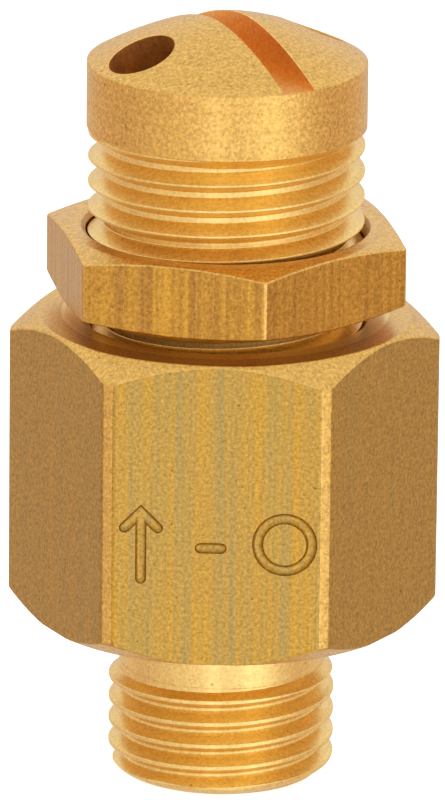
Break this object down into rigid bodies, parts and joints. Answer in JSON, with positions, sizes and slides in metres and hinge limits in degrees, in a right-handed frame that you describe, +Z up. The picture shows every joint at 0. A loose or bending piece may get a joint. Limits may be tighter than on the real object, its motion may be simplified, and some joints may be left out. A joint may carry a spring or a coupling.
{
  "type": "spring-loaded vent valve",
  "caption": "Brass vent valve with a hexagonal body, a male pipe-thread inlet and a slotted, vented adjusting screw held by a lock nut.",
  "frame": {"origin": "centre of the inlet spigot's end face, on the valve's axis", "axes": "+Z up the valve's axis towards the slotted head; -Y out of the flat that carries the engraved mark; +X to the right of it"},
  "size_m": [0.025, 0.022, 0.0453],
  "materials": {
    "body_brass": "machined satin brass, drawn flats",
    "screw_brass": "machined satin brass, finely turned",
    "nut_brass": "machined satin brass, drawn flats",
    "inner_brass": "turned brass",
    "spring_steel": "drawn spring wire",
    "stainless_steel": "turned stainless steel",
    "seal_rubber": "moulded black rubber"
  },
  "bodies": {
    "valve_body": {"valve_body": "body_brass"},
    "valve_disc": {"valve_plate": "inner_brass", "sealing_disc": "seal_rubber", "seal_washer": "stainless_steel", "valve_stem": "stainless_steel", "stem_nut": "stainless_steel"},
    "spring_seat": {"upper_spring_seat": "inner_brass", "pressure_spring": "spring_steel"},
    "adjusting_screw": {"adjusting_screw": "screw_brass"},
    "lock_nut": {"lock_nut": "nut_brass"}
  },
  "joints": [
    {"name": "valve_lift", "type": "slide", "parent": "valve_body", "child": "valve_disc", "axis": [0, 0, 1], "range_m": [0, 0.002], "stiffness_N_per_m": 5300, "springref_m": -0.0029, "deforming": ["pressure_spring"]},
    {"name": "adjust_travel", "type": "slide", "parent": "valve_body", "child": "spring_seat", "axis": [0, 0, 1], "range_m": [-0.0035, 0.0035]},
    {"name": "adjust_turn", "type": "hinge", "parent": "spring_seat", "child": "adjusting_screw", "pos_m": [0, 0, 0.04], "axis": [0, 0, 1], "range_deg": [-720, 720]},
    {"name": "lock_nut_travel", "type": "slide", "parent": "valve_body", "child": "lock_nut", "axis": [0, 0, 1], "range_m": [-0.001, 0.0025]}
  ],
  "couplings": [
    {"joint": "adjust_travel", "follows": "adjust_turn", "m_per_rad": 0.00023873}
  ]
}
